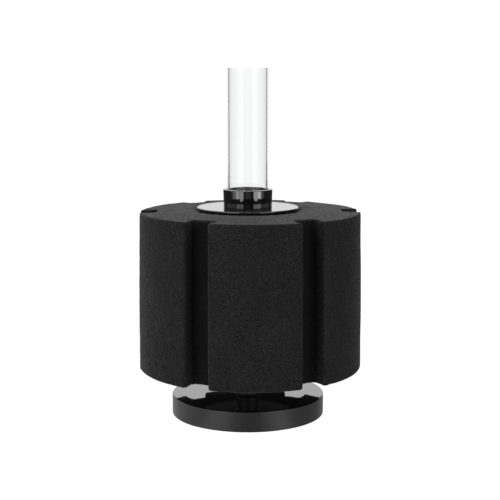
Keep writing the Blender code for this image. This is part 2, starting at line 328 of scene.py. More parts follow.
@dataclass(frozen=True)
class PolishedBlack:
    """Black plastic with a mirror polish, as on the plates and the collar."""

    colour: Colour = (0.0012, 0.0012, 0.0013)
    roughness: float = 0.035
    wipe_size: float = 9.0 * MM
    wipe_range: Point = (0.35, 0.75)
    wipe_dulling: float = 0.03
    ripple_size: float = 7.0 * MM
    ripple_depth: float = 0.004 * MM

    def build(self, name: str) -> bpy.types.Material:
        """Make the material.

        Args:
            name: the material's name.

        Returns:
            The material.
        """
        tree = Finish(name)
        wiped = tree.noise(self.wipe_size, Noise.HARSH).step(*self.wipe_range)
        ripple = tree.noise(self.ripple_size, Noise.SOFT)
        return tree.surface(
            Base_Color=(*self.colour, 1.0),
            Roughness=self.roughness + self.wipe_dulling * wiped,
            Normal=tree.bump(ripple, self.ripple_depth),
            IOR=1.5,
        )


@dataclass(frozen=True)
class FootBlack:
    """The foot's plastic: polished on its flat top, satin with fine streaks round it."""

    top: float
    colour: Colour = (0.0015, 0.0015, 0.0016)
    streak_colour: Colour = (0.003, 0.003, 0.0031)
    polish: float = 0.03
    satin: float = 0.42
    rounding: Point = (0.30 * MM, 0.05 * MM)
    streak: float = 1.2 * MM
    streak_dulling: float = 0.16
    streak_stretch: float = 0.04
    grain: float = 0.5 * MM
    grain_depth: float = 0.006 * MM

    def build(self, name: str) -> bpy.types.Material:
        """Make the material.

        Args:
            name: the material's name.

        Returns:
            The material.
        """
        tree = Finish(name)
        flat = tree.height().step(*(self.top - drop for drop in self.rounding))
        upright = tree.stretched((1.0, 1.0, self.streak_stretch))
        streaks = tree.noise(self.streak, Noise.MIXED, upright)
        satin = self.satin + self.streak_dulling * (streaks - 0.5)
        streaked = streaks.step(*MIDDLE) * (1.0 - flat)
        grain = tree.noise(self.grain, Noise.MIXED) * (1.0 - flat)
        return tree.surface(
            Base_Color=tree.mix(streaked, self.colour, self.streak_colour),
            Roughness=satin * (1.0 - flat) + self.polish * flat,
            Normal=tree.bump(grain, self.grain_depth),
            IOR=1.42,
        )


@dataclass(frozen=True)
class MouldedBlack:
    """Plain moulded plastic of the working parts, slightly grained."""

    colour: Colour = (0.0022, 0.0022, 0.0023)
    roughness: float = 0.42
    grain: float = 0.6 * MM
    grain_depth: float = 0.012 * MM
    patch: float = 12.0 * MM
    patch_lift: float = 1.7
    patch_dulling: float = 0.18
    shine: float = 1.5

    def build(self, name: str) -> bpy.types.Material:
        """Make the material.

        Args:
            name: the material's name.

        Returns:
            The material.
        """
        tree = Finish(name)
        grain = tree.noise(self.grain, Noise.MIXED)
        patches = tree.noise(self.patch, Noise.MIXED)
        lighter = tuple(self.patch_lift * channel for channel in self.colour)
        return tree.surface(
            Base_Color=tree.mix(patches.step(*MIDDLE), self.colour, lighter),
            Roughness=self.roughness + self.patch_dulling * (patches - 0.5),
            Normal=tree.bump(grain, self.grain_depth),
            IOR=self.shine,
        )


@dataclass(frozen=True)
class PorousGrey:
    """The air diffuser's grainy grey plastic."""

    colour: Colour = (0.16, 0.16, 0.165)
    hollow: float = 0.55
    roughness: float = 0.55
    grain: float = 0.35 * MM
    grain_range: Point = (0.3, 0.65)
    grain_depth: float = 0.06 * MM
    grain_dulling: float = 0.3

    def build(self, name: str) -> bpy.types.Material:
        """Make the material.

        Args:
            name: the material's name.

        Returns:
            The material.
        """
        tree = Finish(name)
        grain = tree.noise(self.grain, Noise.HARSH)
        darker = tuple(self.hollow * channel for channel in self.colour)
        return tree.surface(
            Base_Color=tree.mix(grain.step(*self.grain_range), darker, self.colour),
            Roughness=self.roughness + self.grain_dulling * grain,
            Normal=tree.bump(grain, self.grain_depth),
            IOR=1.48,
        )


@dataclass(frozen=True)
class BrushedSteel:
    """The ballast ring's bare turned steel."""

    colour: Colour = (0.45, 0.45, 0.46)
    dark: Colour = (0.30, 0.30, 0.31)
    roughness: float = 0.3
    groove: float = 0.5 * MM
    groove_stretch: tuple[float, float, float] = (0.2, 0.2, 4.0)
    groove_depth: float = 0.01 * MM
    groove_dulling: float = 0.2

    def build(self, name: str) -> bpy.types.Material:
        """Make the material.

        Args:
            name: the material's name.

        Returns:
            The material.
        """
        tree = Finish(name)
        turned = tree.noise(self.groove, Noise.MIXED, tree.stretched(self.groove_stretch))
        return tree.surface(
            Base_Color=tree.mix(turned.step(*MIDDLE), self.dark, self.colour),
            Roughness=self.roughness + self.groove_dulling * turned,
            Metallic=1.0,
            Normal=tree.bump(turned, self.groove_depth),
        )


@dataclass(frozen=True)
class ClearPlastic:
    """The lift tube's clear extruded plastic."""

    tint: Colour = (0.985, 0.99, 0.988)
    roughness: float = 0.012
    draw_dulling: float = 0.02
    draw_line: float = 1.4 * MM
    draw_stretch: float = 0.02
    draw_depth: float = 0.0015 * MM

    def build(self, name: str) -> bpy.types.Material:
        """Make the material.

        Args:
            name: the material's name.

        Returns:
            The material.
        """
        tree = Finish(name)
        upright = tree.stretched((1.0, 1.0, self.draw_stretch))
        lines = tree.noise(self.draw_line, Noise.SOFT, upright)
        return tree.surface(
            Base_Color=(*self.tint, 1.0),
            Roughness=self.roughness + self.draw_dulling * lines,
            Normal=tree.bump(lines, self.draw_depth),
            Transmission_Weight=1.0,
            IOR=1.49,
        )


@dataclass(frozen=True)
class FoamBlack:
    """Open-cell black foam: struts that catch the light, with painted glints, and painted shade in
    the round cells, in random holes and deep in the grooves.

    The first four fields are the cells' size and the block's radius, top and centre in X.
    """

    pore: float
    rim: float
    top: float
    centre: float
    strut_colour: Colour = (0.0056, 0.0056, 0.0058)
    # The cells' colour is painted shade in the pits between the struts.
    cell_colour: Colour = (0.0008, 0.0008, 0.0009)
    # A dark colour that stands in for shade in the holes and deep in the grooves.
    hole_colour: Colour = (0.0006, 0.0006, 0.0006)
    strut_range: Point = (0.30, 0.06)
    patch: float = 16.0 * MM
    patch_range: Point = (0.25, 0.75)
    patch_share: float = 0.45
    speck: float = 0.75 * MM
    speck_range: Point = (0.46, 0.68)
    # Painted highlights: lighter specks in the colour that stand in for glints on the struts.
    glint: float = 0.7 * MM
    glint_range: Point = (0.60, 0.72)
    glint_share: float = 0.9
    fuzz: float = 0.45 * MM
    fuzz_depth: float = 0.16 * MM
    roughness: float = 0.92
    strut_polish: float = 0.2
    # hole_shade: how strongly painted shade darkens the random holes.
    hole_shade: float = 0.5
    # groove_shade, groove_lip and groove_fall: the strength of the painted shade deep in the
    # grooves, where it starts in from the rim, and how far it fades in.
    groove_shade: float = 0.54
    groove_lip: float = 4.0 * MM
    groove_fall: float = 4.0 * MM
    sheen: float = 0.09
    sheen_spread: float = 0.35

    def build(self, name: str) -> bpy.types.Material:
        """Make the material.

        Args:
            name: the material's name.

        Returns:
            The material.
        """
        tree = Finish(name)
        cells = tree.value(
            "ShaderNodeTexVoronoi",
            {"feature": "DISTANCE_TO_EDGE"},
            {"Vector": tree.place, "Scale": 1.0 / self.pore},
        )
        fuzz = tree.noise(self.fuzz, Noise.MIXED)
        patches = tree.noise(self.patch, Noise.MIXED).step(*self.patch_range)
        patches = 1.0 - self.patch_share + self.patch_share * patches
        # Painted highlights added to the struts' colour.
        glint = tree.noise(self.glint, Noise.SOFT).step(*self.glint_range)
        # 1 on the lit struts and painted glints, 0 where painted shade fills the cells.
        lit_struts_and_glints = cells.step(*self.strut_range) * patches * (0.5 + fuzz) + self.glint_share * glint
        struts = tree.principled(
            Base_Color=tree.mix(lit_struts_and_glints, self.cell_colour, self.strut_colour),
            Roughness=self.roughness - self.strut_polish * lit_struts_and_glints,
            Normal=tree.bump(fuzz, self.fuzz_depth),
            IOR=1.3,
            Sheen_Weight=self.sheen,
            Sheen_Roughness=self.sheen_spread,
        )
        # A dark diffuse shader that stands in for shade, mixed in as painted shade in random holes
        # and deep in the grooves.
        dark = tree.node("ShaderNodeBsdfDiffuse", None, {"Color": (*self.hole_colour, 1.0)})
        painted_hole_shade = tree.noise(self.speck, Noise.MIXED).step(*self.speck_range) * self.hole_shade
        shade = painted_hole_shade.math("MAXIMUM", self.grooved(tree) * self.groove_shade)
        return tree.show(tree.blend(shade, struts, dark))

    def grooved(self, tree: Finish) -> Value:
        """Find where painted shade darkens the faces deep in the grooves.

        Args:
            tree: the material's tree.

        Returns:
            0 on the lobes and on top, 1 deep in a groove.
        """
        x, y, z = tree.axes(tree.place)
        lip = self.rim - self.groove_lip
        across = x - self.centre
        radius = (across * across + y * y).math("SQRT")
        return radius.step(lip, lip - self.groove_fall) * z.step(self.top, self.top - MM)


# -------------------------------------------------------------------- shapes


@dataclass(frozen=True)
class Corner:
    """A corner of a turned outline: its radius, its height and its rounding."""

    radius: float
    height: float
    edge: float = 0.0


def rounded(points: list[Point], edges: list[float], steps: int) -> list[Point]:
    """Round the corners of a closed outline.

    Args:
        points: the corners in order.
        edges: each corner's rounding radius, 0 for a sharp one.
        steps: the sides of each arc.

    Returns:
        The outline with an arc at each rounded corner.
    """
    outline: list[Point] = []
    for index, edge in enumerate(edges):
        corner = Vector(points[index])
        if edge == 0.0:
            outline.append(tuple(corner))
            continue
        before = (Vector(points[index - 1]) - corner).normalized()
        after = (Vector(points[(index + 1) % len(points)]) - corner).normalized()
        half = before.angle(after) / 2.0
        centre = corner + (before + after).normalized() * (edge / math.sin(half))
        arm = corner + before * (edge / math.tan(half)) - centre
        end = corner + after * (edge / math.tan(half)) - centre
        sweep = -arm.angle_signed(end)
        for step in range(steps + 1):
            outline.append(tuple(centre + Matrix.Rotation(sweep * step / steps, 2) @ arm))
    return outline


def propped(outline: list[Point], reach: float) -> list[Point]:
    """Add a point near each end of every long side, so that flats shade flat.

    Args:
        outline: the closed outline.
        reach: how far the added points are from the ends.

    Returns:
        The outline with the added points.
    """
    full: list[Point] = []
    for index, point in enumerate(outline):
        full.append(point)
        start, end = Vector(point), Vector(outline[(index + 1) % len(outline)])
        if (end - start).length > 5.0 * reach:
            along = (end - start).normalized() * reach
            full += [tuple(start + along), tuple(end - along)]
    return full


def new_piece(name: str, mesh: bpy.types.Mesh, smooth: float = 35.0) -> bpy.types.Object:
    """Put a mesh in the scene as a smooth-shaded piece.

    Args:
        name: the piece's name.
        mesh: its mesh, in place.
        smooth: the angle in degrees above which an edge stays sharp.

    Returns:
        The new object, at the origin.
    """
    mesh.shade_smooth()
    mesh.set_sharp_from_angle(angle=math.radians(smooth))
    piece = bpy.data.objects.new(name, mesh)
    bpy.context.scene.collection.objects.link(piece)
    return piece


def turned(name: str, corners: list[Corner], steps: int, arc: int = 6) -> bpy.types.Object:
    """Turn a closed outline round the Z axis.

    Args:
        name: the piece's name.
        corners: the outline, down its outer side and up its inner one.
        steps: the faces in a full turn.
        arc: the sides of each rounded corner.

    Returns:
        The turned piece.
    """
    points = [(corner.radius, corner.height) for corner in corners]
    outline = propped(rounded(points, [corner.edge for corner in corners], arc), 0.12 * MM)
    maker = bmesh.new()
    rings = []
    for radius, height in outline:
        if radius < 1e-7:
            rings.append([maker.verts.new((0.0, 0.0, height))] * steps)
            continue
        angles = [math.tau * step / steps for step in range(steps)]
        rings.append(
            [maker.verts.new((radius * math.cos(a), radius * math.sin(a), height)) for a in angles]
        )
    for index, ring in enumerate(rings):
        other = rings[(index + 1) % len(rings)]
        for step in range(steps):
            following = (step + 1) % steps
            loop = [ring[step], other[step], other[following], ring[following]]
            distinct = list(dict.fromkeys(loop))
            if len(distinct) > 2:
                maker.faces.new(distinct)
    bmesh.ops.recalc_face_normals(maker, faces=maker.faces)
    mesh = bpy.data.meshes.new(name)
    maker.to_mesh(mesh)
    maker.free()
    return new_piece(name, mesh)


def reach(node: str) -> tuple[float, float, float]:
    """Give a turned CAD node's outer radius and its lowest and highest point.

    Args:
        node: the node's name.

    Returns:
        Radius, bottom and top, in metres.
    """
    low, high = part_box(node)
    return max(high.x, high.y), low.z, high.z


def disc(name: str, node: str, hole: float, edge: float, steps: int) -> bpy.types.Object:
    """Turn a flat disc with a hole.

    Args:
        name: the piece's name.
        node: the CAD node that gives its size.
        hole: the hole's radius.
        edge: the rounding of its rim.
        steps: the faces in a full turn.

    Returns:
        The disc.
    """
    radius, bottom, top = reach(node)
    corners = [
        Corner(hole, top),
        Corner(radius, top, edge),
        Corner(radius, bottom, edge),
        Corner(hole, bottom),
    ]
    return turned(name, corners, steps)


def dress(piece: bpy.types.Object, material: bpy.types.Material) -> None:
    """Give a piece one material on all its faces."""
    piece.data.materials.clear()
    piece.data.materials.append(material)


def install(
    piece: bpy.types.Object,
    body: Body,
    node: str,
    material: bpy.types.Material | None = None,
) -> None:
    """Dress a finished piece and join it to the frame.

    Args:
        piece: the piece.
        body: the group that it moves with.
        node: the CAD node that it stands for.
        material: its material, or None if it is dressed already.
    """
    if material:
        dress(piece, material)
    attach(piece, body.value)
    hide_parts(node)
    log.info("%s: %d faces, moves with the %s", piece.name, len(piece.data.polygons), body.value)


# ---------------------------------------------------------------- geometry nodes


class GeometryTree(Tree):
    """A Geometry Nodes tree with named inputs, from a mesh to a mesh."""

    def __init__(self, name: str, inputs: dict[str, str]) -> None:
        """Make the tree.

        Args:
            name: the tree's name.
            inputs: each further input's name and socket type.
        """
        super().__init__(bpy.data.node_groups.new(name, "GeometryNodeTree"))
        face = self.nodes.interface
        face.new_socket("Mesh", in_out="INPUT", socket_type="NodeSocketGeometry")
        for label, kind in inputs.items():
            face.new_socket(label, in_out="INPUT", socket_type=kind)
        face.new_socket("Mesh", in_out="OUTPUT", socket_type="NodeSocketGeometry")
        self.given = self.nodes.nodes.new("NodeGroupInput")

    def input(self, label: str) -> Value:
        """Wrap one of the tree's named inputs."""
        return Value(self, self.given.outputs[label])

    def end(self, mesh: Value) -> None:
        """Finish the tree: realize the instances, set the material, and put it out."""
        real = self.value("GeometryNodeRealizeInstances", None, {0: mesh})
        material = self.input("Material")
        sockets = {"Geometry": real, "Material": material}
        dressed = self.value("GeometryNodeSetMaterial", None, sockets)
        self.node("NodeGroupOutput", None, {0: dressed})

    def apply(self, piece: bpy.types.Object, settings: dict[str, Any]) -> None:
        """Run the tree on a piece, keep the result as its plain mesh, and drop the modifier.

        Args:
            piece: the piece, whose other modifiers are applied first.
            settings: the tree's inputs by name.
        """
        modifier = piece.modifiers.new(self.nodes.name, "NODES")
        modifier.node_group = self.nodes
        for item in self.nodes.interface.items_tree:
            if item.in_out == "INPUT" and item.name in settings:
                modifier[item.identifier] = settings[item.name]
        bpy.context.view_layer.update()
        graph = bpy.context.evaluated_depsgraph_get()
        mesh = bpy.data.meshes.new_from_object(piece.evaluated_get(graph))
        piece.modifiers.clear()
        piece.data = mesh


@dataclass(frozen=True)
class Openings:
    """Rows of equal openings round a tube."""

    columns: int
    rows: int
    width: float
    height: float
    corner: float
    pitch: float
    radius: float
    depth: float
    first: float = 0.0
    stagger: float = 0.0


class OpeningCutter(GeometryTree):
    """Cuts rows of round-cornered openings through a tube's wall."""

    def __init__(self) -> None:
        """Build the tree: points round the axis, a cutter on each, one cut."""
        whole, size = "NodeSocketInt", "NodeSocketFloat"
        labels = {
            "Columns": whole, "Rows": whole, "Width": size, "Height": size, "Corner": size,
            "Pitch": size, "First": size, "Radius": size, "Depth": size, "Stagger": size,
            "Material": "NodeSocketMaterial",
        }
        super().__init__("cut openings", labels)
        index = self.value("GeometryNodeInputIndex")
        columns = self.input("Columns")
        row = index.math("DIVIDE", columns).math("FLOOR")
        column = index.math("MODULO", columns)
        shift = row.math("MODULO", 2.0) * self.input("Stagger")
        angle = (column + shift) * math.tau
        angle = angle.math("DIVIDE", columns)
        reach = self.input("Radius")
        height = self.input("First") + row * self.input("Pitch")
        place = self.vector(X=angle.math("COSINE") * reach, Y=angle.math("SINE") * reach, Z=height)
        count = {"Count": columns * self.input("Rows"), "Position": place}
        points = self.value("GeometryNodePoints", None, count)
        turn = self.vector(Z=angle)
        sockets = {"Points": points, "Instance": self.cutter(), "Rotation": turn}
        cutters = self.value("GeometryNodeInstanceOnPoints", None, sockets)
        solid = self.value("GeometryNodeRealizeInstances", None, {0: cutters})
        cut = self.value(
            "GeometryNodeMeshBoolean",
            {"operation": "DIFFERENCE", "solver": "EXACT"},
            {0: self.input("Mesh"), 1: solid},
        )
        self.end(cut)

    def cutter(self) -> Value:
        """Make one cutter: a round-cornered bar along X, capped at both ends.

        Returns:
            The cutter's mesh.
        """
        half = self.input("Depth") * 0.5
        ends = {"Start": self.vector(X=half * -1.0), "End": self.vector(X=half)}
        line = self.value("GeometryNodeCurvePrimitiveLine", None, ends)
        # A profile's X lies along the line's normal, which is across the tube, and its Y is up.
        sides = {"Width": self.input("Width"), "Height": self.input("Height")}
        frame_curve = self.value("GeometryNodeCurvePrimitiveQuadrilateral", None, sides)
        arcs = {"Curve": frame_curve, "Count": 5, "Radius": self.input("Corner")}
        outline = self.value("GeometryNodeFilletCurve", {"mode": "POLY"}, arcs)
        bar = {"Curve": line, "Profile Curve": outline, "Fill Caps": True}
        return self.value("GeometryNodeCurveToMesh", None, bar)

    def cut(
        self, piece: bpy.types.Object, openings: Openings, material: bpy.types.Material
    ) -> None:
        """Cut openings into a turned piece and give it its material.

        Args:
            piece: the piece.
            openings: the openings' sizes and places.
            material: the material of the whole piece.
        """
        settings = {label.capitalize(): size for label, size in vars(openings).items()}
        self.apply(piece, {**settings, "Material": material})
        piece.data.shade_smooth()
        piece.data.set_sharp_from_angle(angle=math.radians(35.0))


class FoamSkin(GeometryTree):
    """Gives a foam block its open cells, its unevenness and its swell round the plate."""

    CELL_RANGE: Point = (0.03, 0.38)
    SHALLOWEST = 0.25
    PATCH_SCALE = 0.45
    TOP_RANGE: Point = (-4.0 * MM, -1.0 * MM)
    SWELL_START: Point = (0.4 * MM, 2.0 * MM)
    SWELL_END: Point = (0.0, 22.0 * MM)
    BELLY_RANGE: Point = (-0.3, 0.8)

    def __init__(self) -> None:
        """Build the tree: one offset of each point from waves, cells and the swell."""
        size = "NodeSocketFloat"
        labels = {
            "Pore": size, "Pore depth": size, "Wave": size, "Wave depth": size,
            "Top": size, "Bottom": size, "Plate": size, "Rim": size, "Swell": size, "Belly": size,
            "Material": "NodeSocketMaterial",
        }
        super().__init__("foam skin", labels)
        place = self.value("GeometryNodeInputPosition")
        x, y, z = self.axes(place)

        per_pore = self.input("Pore").math("POWER", -1.0)
        cells = self.value(
            "ShaderNodeTexVoronoi",
            {"feature": "DISTANCE_TO_EDGE"},
            {"Vector": place, "Scale": per_pore},
        )
        patches = {
            "Vector": place,
            "Scale": per_pore * self.PATCH_SCALE,
            "Detail": Noise.MIXED.value,
        }
        deeper = self.value("ShaderNodeTexNoise", None, patches).step(*MIDDLE)
        deeper = self.SHALLOWEST + (1.0 - self.SHALLOWEST) * deeper
        pits = cells.step(*self.CELL_RANGE) * deeper * self.input("Pore depth")

        per_wave = self.input("Wave").math("POWER", -1.0)
        noise = {"Vector": place, "Scale": per_wave, "Detail": 2.0}
        waves = (self.value("ShaderNodeTexNoise", None, noise) - 0.5) * self.input("Wave depth")

        radius = (x * x + y * y).math("SQRT")
        from_plate = radius - self.input("Plate")
        to_rim = self.input("Rim") - radius
        top = (z - self.input("Top")).step(*self.TOP_RANGE)
        swell = from_plate.step(*self.SWELL_START) * to_rim.step(*self.SWELL_END) * top
        rise = swell * self.input("Swell")
        down = (self.input("Top") - z).math("DIVIDE", self.input("Top") - self.input("Bottom"))
        belly = down.step(*self.BELLY_RANGE) * self.input("Belly")

        normal = self.value("GeometryNodeInputNormal")
        scaled = {0: normal, "Scale": waves - pits}
        along = self.value("ShaderNodeVectorMath", {"operation": "SCALE"}, scaled)
        up = self.vector(X=x * belly, Y=y * belly, Z=rise)
        offset = self.value("ShaderNodeVectorMath", {"operation": "ADD"}, {0: along, 1: up})
        moved = {"Geometry": self.input("Mesh"), "Offset": offset}
        self.end(self.value("GeometryNodeSetPosition", None, moved))


# -------------------------------------------------------------- sub-assemblies


@dataclass
class Foot:
    """The weighted foot: shell with the stem's socket, underplate and ballast ring."""

    wall: float = 2.0 * MM
    rim: float = 0.55 * MM
    socket: float = 6.3 * MM
    socket_wall: float = 2.7 * MM
    socket_floor: float = 1.0 * MM
    grip_rings: Point = (0.86, 0.55)
    grip_half: float = 0.9 * MM
    grip_depth: float = 0.5 * MM
    grip_edge: float = 0.15 * MM
    steps: int = 224

    def shell(self) -> bpy.types.Object:
        """Turn the shell with its flat top, wall and socket.

        Returns:
            The shell.
        """
        radius, bottom, top = reach("base_shell")
        _, _, plate_top = reach("base_underplate")
        inner = radius - self.wall
        boss = self.socket + self.socket_wall
        low = plate_top + 0.3 * MM
        corners = [
            Corner(0.0, low + self.socket_floor),
            Corner(self.socket, low + self.socket_floor),
            Corner(self.socket, top, 0.3 * MM),
            Corner(radius, top, self.rim),
            Corner(radius, bottom, 0.45 * MM),
            Corner(inner, bottom, 0.15 * MM),
            Corner(inner, top - self.wall, 0.6 * MM),
            Corner(boss, top - self.wall, 0.6 * MM),
            Corner(boss, low, 0.2 * MM),
            Corner(0.0, low),
        ]
        return turned("foot_shell", corners, self.steps)

    def underplate(self) -> bpy.types.Object:
        """Turn the underplate with its two shallow grip rings.

        Returns:
            The underplate.
        """
        radius, bottom, top = reach("base_underplate")
        corners = [
            Corner(0.0, top),
            Corner(radius, top, 0.2 * MM),
            Corner(radius, bottom, 0.4 * MM),
        ]
        for ring in self.grip_rings:
            outer, inner = ring * radius + self.grip_half, ring * radius - self.grip_half
            heights = (bottom, self.grip_depth, self.grip_depth, bottom)
            for side, height in zip((outer, outer, inner, inner), heights):
                corners.append(Corner(side, height, self.grip_edge))
        corners.append(Corner(0.0, bottom))
        return turned("foot_underplate", corners, self.steps, 3)

    def build(self) -> None:
        """Make the foot and join it to the frame."""
        shell, underplate = self.shell(), self.underplate()
        black = FootBlack(reach("base_shell")[2]).build("foot plastic")
        moulded = MouldedBlack(roughness=0.5).build("underplate plastic")
        install(shell, Body.FOOT, "base_shell", black)
        install(underplate, Body.FOOT, "base_underplate", moulded)
        dress(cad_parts["base_weight"], BrushedSteel().build("ballast steel"))


@dataclass
class Core:
    """The core under and inside the sponge: stem, lower plate and slotted strainer."""

    cutter: OpeningCutter
    wall: float = 1.5 * MM
    floor: float = 2.0 * MM
    hole: float = 4.3 * MM
    spigot: float = 4.0 * MM
    plate_edge: float = 0.45 * MM
    plate_steps: int = 192
    stem_colour: Colour = (0.008, 0.008, 0.0082)
    slots: Openings = Openings(
        columns=8, rows=4, width=3.2 * MM, height=10.0 * MM, corner=1.3 * MM, pitch=13.2 * MM,
        radius=12.3 * MM, depth=8.0 * MM,
    )
    first_slot: float = 10.5 * MM
    steps: int = 128

    def stem(self) -> bpy.types.Object:
        """Turn the stem: a tapered plug, a collar under the plate, and the spigot.

        Returns:
            The stem.
        """
        radius, bottom, top = reach("stem")
        _, plate_bottom, _ = reach("lower_plate")
        shoulder = plate_bottom - 0.05 * MM
        _, _, foot_top = reach("base_shell")
        neck = radius - 0.6 * MM
        corners = [
            Corner(0.0, top),
            Corner(self.spigot, top, 0.5 * MM),
            Corner(self.spigot, shoulder),
            Corner(radius, shoulder, 0.3 * MM),
            Corner(radius, shoulder - 2.4 * MM, 0.5 * MM),
            Corner(neck, shoulder - 3.0 * MM, 0.6 * MM),
            Corner(neck, foot_top + 1.8 * MM, 0.6 * MM),
            Corner(radius, foot_top + 1.0 * MM, 0.4 * MM),
            Corner(radius, bottom, 0.9 * MM),
            Corner(0.0, bottom),
        ]
        return turned("stem_plug", corners, 96)

    def strainer(self, material: bpy.types.Material) -> bpy.types.Object:
        """Turn the strainer and cut its slots.

        Args:
            material: the finish of the whole strainer.

        Returns:
            The strainer.
        """
        radius, bottom, top = reach("strainer")
        bore = radius - self.wall
        corners = [
            Corner(bore, top, 0.25 * MM),
            Corner(radius, top, 0.4 * MM),
            Corner(radius, bottom, 0.3 * MM),
            Corner(self.hole, bottom),
            Corner(self.hole, bottom + self.floor, 0.3 * MM),
            Corner(bore, bottom + self.floor, 0.6 * MM),
        ]
        tube = turned("strainer_tube", corners, self.steps, 4)
        self.cutter.cut(tube, replace(self.slots, first=bottom + self.first_slot), material)
        return tube

    def build(self) -> None:
        """Make the core and join it to the frame."""
        moulded = MouldedBlack(roughness=0.6, shine=1.25).build("core plastic")
        stem = self.stem()
        plate = disc("lower_disc", "lower_plate", self.hole, self.plate_edge, self.plate_steps)
        strainer = self.strainer(moulded)
        lighter = MouldedBlack(colour=self.stem_colour, roughness=0.5).build("stem plastic")
        install(stem, Body.CORE, "stem", lighter)
        install(plate, Body.CORE, "lower_plate", moulded)
        install(strainer, Body.CORE, "strainer")


@dataclass
class Sponge:
    """The foam block: six lobes round a bore, cut a little off the bore's centre."""

    grooves: int = 6
    groove_width: float = 11.3 * MM
    groove_floor: float = 45.3 * MM
    first_groove: float = math.radians(-27.0)
    corner: float = 1.15 * MM
    edge: float = 1.1 * MM
    off_centre: float = 1.0 * MM
    bore_gap: float = 0.35 * MM
    bore_steps: int = 96
    lobe_steps: int = 24
    corner_steps: int = 5
    voxel: float = 0.5 * MM
    pore: float = 0.95 * MM
    pore_depth: float = 0.42 * MM
    wave: float = 26.0 * MM
    wave_depth: float = 0.55 * MM
    swell: float = 0.8 * MM
    belly: float = 0.016
    skin: FoamSkin = field(default_factory=FoamSkin)

    def outline(self, radius: float) -> list[Point]:
        """Work out the lobed outline.

        Args:
            radius: the sponge's outer radius.

        Returns:
            The outline's points, counter-clockwise.
        """
        half = self.groove_width / 2.0
        lip = math.sqrt(radius**2 - half**2)
        spread = math.asin(half / radius)
        pitch = math.tau / self.grooves
        points: list[Point] = []
        edges: list[float] = []
        for groove in range(self.grooves):
            # The front is -Y, and angles grow towards +X.
            angle = self.first_groove + pitch * groove - math.pi / 2.0
            turn = Matrix.Rotation(angle, 2)
            floor = self.groove_floor
            for spot in ((lip, -half), (floor, -half), (floor, half), (lip, half)):
                points.append(tuple(turn @ Vector(spot)))
                edges.append(self.corner)
            span = (pitch - 2.0 * spread) / self.lobe_steps
            lobe = [angle + spread + span * step for step in range(1, self.lobe_steps)]
            points += [(radius * math.cos(a), radius * math.sin(a)) for a in lobe]
            edges += [0.0] * len(lobe)
        centred = rounded(points, edges, self.corner_steps)
        return [(x + self.off_centre, y) for x, y in centred]

    def block(self) -> bpy.types.Object:
        """Raise the outline into a closed block with a bore, and round its rims.

        Returns:
            The block, still with large faces.
        """
        low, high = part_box("sponge")
        radius, _, _ = reach("sponge")
        bore, _, _ = reach("strainer")
        bore += self.bore_gap
        curve = bpy.data.curves.new("sponge outline", "CURVE")
        curve.dimensions = "2D"
        curve.fill_mode = "BOTH"
        curve.extrude = (high.z - low.z) / 2.0
        ring = [math.tau * step / self.bore_steps for step in range(self.bore_steps)]
        hole = [(bore * math.cos(a), bore * math.sin(a)) for a in ring]
        for outline in (self.outline(radius), hole):
            spline = curve.splines.new("POLY")
            spline.points.add(len(outline) - 1)
            spline.use_cyclic_u = True
            for point, (x, y) in zip(spline.points, outline):
                point.co = (x, y, 0.0, 1.0)
        maker_object = bpy.data.objects.new("sponge outline", curve)
        bpy.context.scene.collection.objects.link(maker_object)
        graph = bpy.context.evaluated_depsgraph_get()
        mesh = bpy.data.meshes.new_from_object(maker_object.evaluated_get(graph))
        bpy.data.objects.remove(maker_object)
        mesh.transform(Matrix.Translation((0.0, 0.0, (low.z + high.z) / 2.0)))
        cleaner = bmesh.new()
        cleaner.from_mesh(mesh)
        bmesh.ops.remove_doubles(cleaner, verts=cleaner.verts, dist=0.005 * MM)
        bmesh.ops.recalc_face_normals(cleaner, faces=cleaner.faces)
        cleaner.to_mesh(mesh)
        cleaner.free()
        block = new_piece("sponge_block", mesh)
        rims = block.modifiers.new("Soft rims", "BEVEL")
        rims.width = self.edge
        rims.segments = self.corner_steps
        rims.use_clamp_overlap = False
        rims.limit_method = "ANGLE"
        rims.angle_limit = math.radians(50.0)
        return block

    def build(self) -> None:
        """Make the sponge, give it its foam skin and join it to the frame."""
        block = self.block()
        grid = block.modifiers.new("Even grid", "REMESH")
        grid.mode = "VOXEL"
        grid.voxel_size = self.voxel
        low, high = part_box("sponge")
        plate, _, _ = reach("top_plate")
        rim, _, _ = reach("sponge")
        foam = FoamBlack(self.pore, rim, high.z, self.off_centre).build("black foam")
        self.skin.apply(
            block,
            {
                "Pore": self.pore, "Pore depth": self.pore_depth,
                "Wave": self.wave, "Wave depth": self.wave_depth,
                "Top": high.z, "Bottom": low.z, "Plate": plate, "Rim": rim,
                "Swell": self.swell, "Belly": self.belly,
                "Material": foam,
            },
        )
        block.data.shade_smooth()
        install(block, Body.SPONGE, "sponge")


